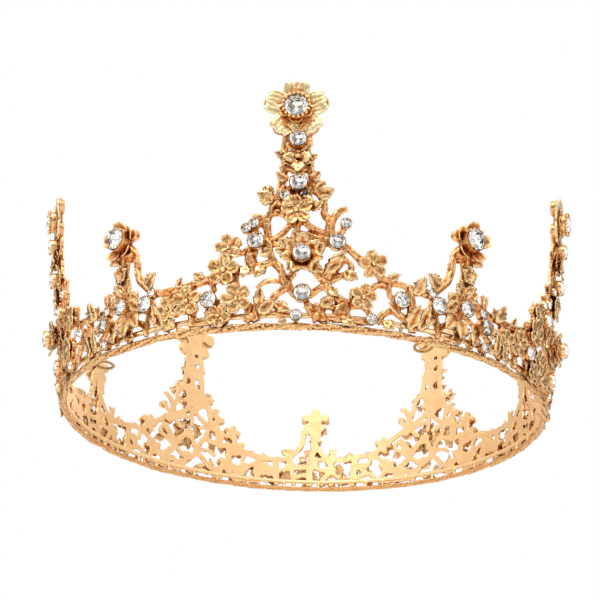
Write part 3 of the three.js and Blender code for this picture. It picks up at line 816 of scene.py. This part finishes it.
NECK_LEAVES = [
    ((1.3, 53.6), (-1.7, 55), 2.2, 0.6, 14), ((1.3, 53.6), (4, 54.8), 2.2, 0.6, 14),
    ((1.4, 47.6), (4.3, 49), 2.1, 0.8, 24), ((1.2, 47.6), (-1.9, 48.8), 2.1, 0.8, 24),
    ((1.5, 44.4), (1.5, 40.4), 3, 1.4, 20), ((1.2, 45), (-2.4, 45.2), 2.7, 1.2, 20),
    ((1.8, 45), (5.1, 45.4), 2.7, 1.2, 20),
    ((1.6, 34.2), (-2.6, 31.6), 2.6, 0.6, 16), ((1.9, 34.4), (6, 32.6), 2.6, 0.6, 16),
    ((4.4, 39.4), (7.4, 41.4), 2.2, 0.2, 26), ((-1, 39.2), (-4.2, 41), 2.2, 0.2, 26),
]
leaf_places = [leaf_place(*given) for given in PEAK_LEAVES + HEART_LEAVES + NECK_LEAVES]
peak_leaves = set_copies(leaf, leaf_places, "peak_leaves")
crumple(peak_leaves, 1.1, 1.8)
peak_leaves.data.materials.append(leaf_gold)
set_round(peak_leaves, "peak_leaves", 0)

# ---------------------------------------------------------------------------------------------
# Small flowers: five dished round petals round a ball, cast and soldered over the vines. The
# crest flower is the one at the foot of the neck. Petals are copies of one shaped petal.
# ---------------------------------------------------------------------------------------------
petal = shaped_sheet("petal", 6, 6)
pull_lines(petal, 0, [(1, 0.05), (1, 0.02), (1, -0.04), (1, 0), (1, -0.04), (1, 0.02), (1, 0.05)])
petal_pulls = [(0.3, 0), (0.6, 0.02), (0.9, 0.04), (1.06, 0.07), (1.08, 0.1), (0.92, 0.13), (0.5, 0.17)]
pull_lines(petal, 1, petal_pulls)
plump(petal, 0.13)


def make_flower(name, petal_sheet, petal_foot, petal_size, ball, ball_height):
    """Five petals round a ball, in a flower one in radius that faces +Z."""
    bpy.ops.mesh.primitive_uv_sphere_add(segments=14, ring_count=9, radius=1)
    middle = bpy.context.object
    middle.data.transform(Matrix.Diagonal((ball, ball, ball_height, 1)))
    bpy.ops.object.shade_smooth()
    parts = [middle]
    for i in range(5):
        part = petal_sheet.copy()
        part.data = petal_sheet.data.copy()
        size = Matrix.Diagonal((petal_size, 1 - petal_foot, petal_size, 1))
        swing = Matrix.Rotation(math.radians(72 * i), 4, "Z")
        part.data.transform(swing @ Matrix.Translation((0, petal_foot, 0)) @ size)
        scene.collection.objects.link(part)
        parts.append(part)
    flower = join(parts)
    flower.name = name
    return flower


flower_gold = antique_gold(
    "flower_gold", (0.26, 0.055, 0.01), (0.74, 0.33, 0.1), (1, 0.74, 0.39), 0.27, 1400, 0.1
)
small_flower = make_flower("small_flower", petal, 0.14, 0.76, 0.17, 0.16)
places = [on_wall(a, z - 0.3, 1.1, turn, (size, size, size), 5) for a, z, size, turn in PEAK_BLOSSOMS]
peak_small = set_copies(small_flower, places, "peak_small_flowers")
crumple(peak_small, 0.55, 1.5)
peak_small.data.materials.append(flower_gold)
set_round(peak_small, "peak_small_flowers", 0)

a, z, size, turn = CREST_BLOSSOM
crest = set_copies(small_flower, [on_wall(a, z - 0.3, 1.3, turn, (size, size, size))], "crest_flower")
crumple(crest, 0.55, 1.5)
crest.data.materials.append(flower_gold)
set_round(crest, "crest_blossom", 0, "crest_flower")

# ---------------------------------------------------------------------------------------------
# Top flowers: the big five-petal flower on each peak, with ribs fanning out over every petal.
# It is one casting, domed forward, and carries the largest stone.
# ---------------------------------------------------------------------------------------------
ribbed_petal = shaped_sheet("ribbed_petal", 10, 8)
ribs = [(1, 0.028 * (-1) ** i) for i in range(11)]
pull_lines(ribbed_petal, 0, ribs)
ribbed_pulls = [(0.62, 0), (0.82, 0.01), (0.99, 0.02), (1.1, 0.02), (1.16, 0.03), (1.18, 0.05),
                (1.12, 0.07), (0.97, 0.08), (0.64, 0.04)]
pull_lines(ribbed_petal, 1, ribbed_pulls)
for vert in ribbed_petal.data.vertices:
    if vert.co.y > 0.7:
        vert.co.y += 0.04 * math.cos(5 * math.pi * vert.co.x)
plump(ribbed_petal, 0.12)
top_flower_form = make_flower("top_flower_form", ribbed_petal, 0.26, 0.7, 0.36, 0.02)
a, z, size, turn = TOP_BLOSSOM
top_flower = set_copies(top_flower_form, [on_wall(a, z, 0.4, turn, (size, size, size))], "top_flower")
petal_gold = antique_gold(
    "petal_gold", (0.5, 0.17, 0.04), (0.95, 0.66, 0.3), (1, 0.9, 0.58), 0.36, 1200, 0.1
)
crumple(top_flower, 0.5, 2.2)
top_flower.data.materials.append(petal_gold)
set_round(top_flower, "top_flower", 0, "peak_flower")

# ---------------------------------------------------------------------------------------------
# Stones: round brilliants of clear glass with a silver foil back, each glued into a small cup
# with claws bent over its edge, or a ring of beads round the largest. Sizes are radii.
# ---------------------------------------------------------------------------------------------
glass = bpy.data.materials.new("clear_stone")
glass.use_nodes = True
shader = glass.node_tree.nodes["Principled BSDF"]
shader.inputs["Base Color"].default_value = (1, 0.995, 0.98, 1)
shader.inputs["Roughness"].default_value = 0.0
shader.inputs["IOR"].default_value = 1.6
shader.inputs["Transmission Weight"].default_value = 1
foil = bpy.data.materials.new("silver_foil")
foil.use_nodes = True
shader = foil.node_tree.nodes["Principled BSDF"]
shader.inputs["Base Color"].default_value = (1, 0.985, 0.96, 1)
shader.inputs["Roughness"].default_value = 0.08
shader.inputs["Metallic"].default_value = 1

bpy.ops.object.select_all(action="DESELECT")
bpy.ops.mesh.primitive_circle_add(vertices=8, radius=0.56, location=(0, 0, 0.36))
brilliant = bpy.context.object
bpy.ops.object.transform_apply(location=True)
bpy.ops.object.mode_set(mode="EDIT")
HALF_FACET = math.radians(22.5)
FACET_RINGS = ((8, 0.8, 0.25, HALF_FACET), (16, 1, 0.04, HALF_FACET / 2), (16, 1, -0.03, HALF_FACET / 2),
               (8, 0.58, -0.38, 0), (8, 0.1, -0.66, HALF_FACET))
for count, radius, height, turn in FACET_RINGS:
    bpy.ops.mesh.primitive_circle_add(
        vertices=count, radius=radius, location=(0, 0, height), rotation=(0, 0, turn)
    )
bpy.ops.mesh.select_all(action="SELECT")
bpy.ops.mesh.convex_hull(join_triangles=False)
bpy.ops.mesh.dissolve_limited(angle_limit=math.radians(1))
bpy.ops.mesh.normals_make_consistent(inside=False)
bpy.ops.object.mode_set(mode="OBJECT")
brilliant.data.materials.append(glass)
brilliant.data.materials.append(foil)
for face in brilliant.data.polygons:
    face.material_index = 1 if face.normal.z < 0.1 else 0
    face.use_smooth = False

bpy.ops.mesh.primitive_cylinder_add(vertices=28, radius=1.1, depth=0.88, location=(0, 0, -0.42))
cup = bpy.context.object
bpy.ops.object.transform_apply(location=True)
bpy.ops.object.mode_set(mode="EDIT")
bpy.context.tool_settings.mesh_select_mode = (False, False, True)
bpy.ops.mesh.select_all(action="DESELECT")
form = bmesh.from_edit_mesh(cup.data)
form.faces.ensure_lookup_table()
for face in form.faces:
    face.select_set(face.normal.z > 0.9)
bmesh.update_edit_mesh(cup.data)
bpy.ops.mesh.inset(thickness=0.06, depth=0)
bpy.ops.transform.translate(value=(0, 0, -0.72))
bpy.ops.transform.resize(value=(0.55, 0.55, 1), center_override=(0, 0, 0))
bpy.ops.object.mode_set(mode="OBJECT")
rounding = cup.modifiers.new("rounding", "BEVEL")
rounding.width = 0.045
rounding.segments = 2
bpy.ops.object.modifier_apply(modifier=rounding.name)
bpy.ops.object.shade_smooth_by_angle(angle=math.radians(40))


def with_claws(name, count, reach, size, height):
    """A copy of the cup with claws or beads round its edge."""
    setting = cup.copy()
    setting.data = cup.data.copy()
    scene.collection.objects.link(setting)
    claws = [setting]
    for i in range(count):
        angle = 2 * math.pi * (i + 0.5) / count
        bpy.ops.mesh.primitive_uv_sphere_add(segments=8, ring_count=6, radius=1)
        claw = bpy.context.object
        place = Matrix.Rotation(angle, 4, "Z") @ Matrix.Translation((reach, 0, height))
        claw.data.transform(place @ Matrix.Diagonal((*size, 1)))
        bpy.ops.object.shade_smooth()
        claws.append(claw)
    join(claws)
    setting.name = name
    return setting


clawed_cup = with_claws("clawed_cup", 4, 1.0, (0.17, 0.13, 0.2), 0.08)
beaded_cup = with_claws("beaded_cup", 18, 1.12, (0.16, 0.16, 0.16), 0.06)


CULET_DEPTH = 0.66
STONE_TURN = 11


def stone_place(a, z, radius, base):
    """The place of a stone of this radius, with its point where its cup starts."""
    return on_wall(a, z, base + CULET_DEPTH * radius, STONE_TURN, (radius, radius, radius))


for name, given in PEAK_STONES.items():
    stone = set_copies(brilliant, [stone_place(*given)], name)
    set_round(stone, f"brilliant_{name}", 0, name)
places = [stone_place(*given) for given in PEAK_SMALL_STONES]
stones = set_copies(brilliant, places, "peak_small_stones")
set_round(stones, "peak_small_stones", 0)
a, z, size, turn = TOP_BLOSSOM
sepal_ring = make_flower("sepal_ring", petal, 0.14, 0.76, 0.3, 0.02)
sepal_place = on_wall(a, z, 0.6, turn + 36, (0.54 * size, 0.54 * size, 0.8 * size))
sepals = set_copies(sepal_ring, [sepal_place], "sepals")
top_cup = join([set_copies(beaded_cup, [stone_place(*PEAK_STONES["peak_stone"])], "top_cup"), sepals])
top_cup.data.materials.append(gold)
set_round(top_cup, "top_cup", 0)
clawed = [given for name, given in PEAK_STONES.items() if name != "peak_stone"] + PEAK_SMALL_STONES
cups = set_copies(clawed_cup, [stone_place(*given) for given in clawed], "peak_cups")
cups.data.materials.append(gold)
set_round(cups, "peak_cups", 0)

# ---------------------------------------------------------------------------------------------
# Spires: five short castings between the peaks, a bark trunk with a flower and a large stone on
# top, vines to each side and a sprout. The one at the back and the two on the -X side are mirrored.
# ---------------------------------------------------------------------------------------------
SPIRE_VINES = [
    (2.6, [(0, 28.5), (-0.4, 22), (-0.2, 19.2), (-0.4, 16.4), (-1, 13.6), (-1.6, 9.4), (-1.5, 5),
           (-1.5, 2)]),
    (2.2, [(-2, 28.4), (-3.8, 26), (-4.4, 23.2), (-4.6, 20.6), (-5.6, 18), (-7.4, 15.8), (-9.4, 14),
           (-11, 13), (-13.2, 12.6)]),
    (1.8, [(1.2, 27.5), (1.6, 24), (0.6, 20)]),
    (1.7, [(-4.2, 24.6), (-2.6, 24.8), (-0.8, 25.2)]),
    (1.6, [(0, 22.6), (1.9, 22.4)]),
    (1.6, [(0.4, 21), (2.7, 21.4)]),
    (1.6, [(0, 18.4), (2.1, 17.8)]),
    (1.9, [(-1, 13.6), (1.8, 13.2), (4.6, 13), (7.3, 13.2), (10, 12.8), (13.2, 12.7)]),
    (1.9, [(0.2, 20.4), (1.4, 17.8), (3.2, 15.4), (5.4, 13.8), (8, 12.9)]),
    (2.3, [(7.2, 12.6), (7.2, 15), (7.4, 16.8)]),
    (1.5, [(7.3, 15.8), (6.2, 17.6)]), (1.5, [(7.3, 15.8), (8.6, 17.5)]),
    (2, [(-9.6, 13.2), (-9.2, 10), (-8, 6), (-7.6, 2)]),
    (1.9, [(-8.9, 9.9), (-6.2, 9.2), (-3.4, 9.8), (-0.6, 10.6)]),
    (1.9, [(-0.6, 10.6), (2.4, 8.8), (5, 8.2), (7, 8)]),
    (2, [(7.2, 13), (6.7, 8.5), (5.2, 6.4), (3.8, 4.6), (3, 2)]),
    (1.8, [(6.8, 8), (8.8, 6.2), (10.8, 5.4)]),
    (1.8, [(-12.6, 8), (-10.8, 8.6), (-9, 9)]),
    (1.8, [(-7.4, 5), (-4.6, 6.4), (-1.6, 6)]),
]
SPIRE_STONE = (0, 30.5, 3, 1.1)
SPIRE_SMALL_STONES = [
    (-8.9, 9.9, 2.2, STONE_BASE), (-10.5, 12.9, 1.2, STONE_BASE), (-0.3, 11.3, 2.15, STONE_BASE),
    (6.5, 8.3, 2.2, STONE_BASE), (5.7, 11.9, 1.3, STONE_BASE), (7, 2.9, 1.35, STONE_BASE),
]
spire_cores, spire_bark = new_strands("spire_cores"), new_strands("spire_bark")
for width, route in SPIRE_VINES:
    add_vine(spire_cores, spire_bark, width, route)
SPIRE_KNOTS = [(-2, 27, 1.4), (-1.2, 10, 1.5), (7.2, 12.8, 1.1), (-9.4, 13, 1.1), (0, 28.4, 1.5)]
for a, z, radius in SPIRE_KNOTS:
    add_knot(spire_cores, a, z, radius, CORE_OUT)
SPIRE_BLOSSOM = (0, 30, 5.6, 0)
SPIRE_SEATS = [SPIRE_STONE, *SPIRE_SMALL_STONES]
spire_rods = join([web(spire_cores, [SPIRE_BLOSSOM], SPIRE_SEATS), make_mesh(spire_bark)])
spire_wall = cast(spire_rods, CAST_GRAIN, CAST_ROUGHNESS)
press_back(spire_wall)
spire_wall.data.materials.append(gold)
TO_SPIRE = 180 / UNITS
MIRRORED = (2, 3, 4)  # counted from 0, from the one on the right of the front
set_round(spire_wall, "spire_vines", TO_SPIRE, "spire_lattice", MIRRORED)

SPIRE_LEAVES = [
    ((-7.6, 15), (-13, 17.6), 3.2), ((-5.2, 12.6), (-3, 14.8), 2.4),
    ((1.8, 26.4), (4.6, 24.4), 3), ((-1.6, 6.6), (-5.4, 5.2), 2.4),
    ((7, 13.6), (5.8, 16.8), 1.7), ((3.4, 8.6), (3, 5.6), 1.8), ((11, 12.4), (9.4, 15), 1.7),
    ((12.2, 11.6), (13.6, 16.8), 3), ((13.2, 2.4), (10.6, 8.6), 2.8), ((-13.4, 2.6), (-11.4, 9.4), 2.6),
    ((9.2, 4), (12.6, 3), 2.2), ((-1.2, 3), (-5, 1.8), 2.2), ((0.2, 17), (3.2, 18), 2.2),
    ((-0.8, 8.4), (-1.6, 2.6), 4), ((-3, 9), (-7, 4), 3.4), ((4.6, 6.5), (2.4, 2), 3),
    ((9.8, 11), (8.6, 5.4), 3.2), ((-9.4, 8), (-12.4, 4), 3), ((-5.6, 9.6), (-3, 13), 2.6),
    ((0.4, 14), (3.4, 16.6), 3), ((-1, 15), (-4, 17.6), 2.6),
]
TRUNK_LEAVES = leaf_ring(0.2, 20.8, 2.8, 5, 2.2, 0.3, 20)
leaf_places = [leaf_place(*given) for given in SPIRE_LEAVES + TRUNK_LEAVES]
spire_leaves = set_copies(leaf, leaf_places, "spire_leaves")
crumple(spire_leaves, 1.1, 1.8)
spire_leaves.data.materials.append(leaf_gold)
set_round(spire_leaves, "spire_leaves", TO_SPIRE, None, MIRRORED)

bud = make_flower("bud", petal, 0.36, 0.66, 0.36, 0.12)
for vert in bud.data.vertices:
    vert.co.z += 0.3 * (vert.co.x ** 2 + vert.co.y ** 2)
a, z, size, turn = SPIRE_BLOSSOM
spire_flower = set_copies(bud, [on_wall(a, z, 0.3, turn, (size, size, size))], "spire_flower")
crumple(spire_flower, 0.3, 2.2)
spire_flower.data.materials.append(leaf_gold)
set_round(spire_flower, "spire_blossom", TO_SPIRE, "spire_flower", MIRRORED)

stone = set_copies(brilliant, [stone_place(*SPIRE_STONE)], "spire_stone")
set_round(stone, "brilliant_spire_stone", TO_SPIRE, "spire_stone", MIRRORED)
places = [stone_place(*given) for given in SPIRE_SMALL_STONES]
stones = set_copies(brilliant, places, "spire_small_stones")
set_round(stones, "spire_small_stones", TO_SPIRE, None, MIRRORED)
cups = set_copies(clawed_cup, [stone_place(*given) for given in SPIRE_SEATS], "spire_cups")
cups.data.materials.append(gold)
set_round(cups, "spire_cups", TO_SPIRE, None, MIRRORED)

FORMS = [leaf, petal, ribbed_petal, small_flower, sepal_ring, top_flower_form, bud, brilliant, cup,
         clawed_cup, beaded_cup]
for form in FORMS:
    bpy.data.objects.remove(form)
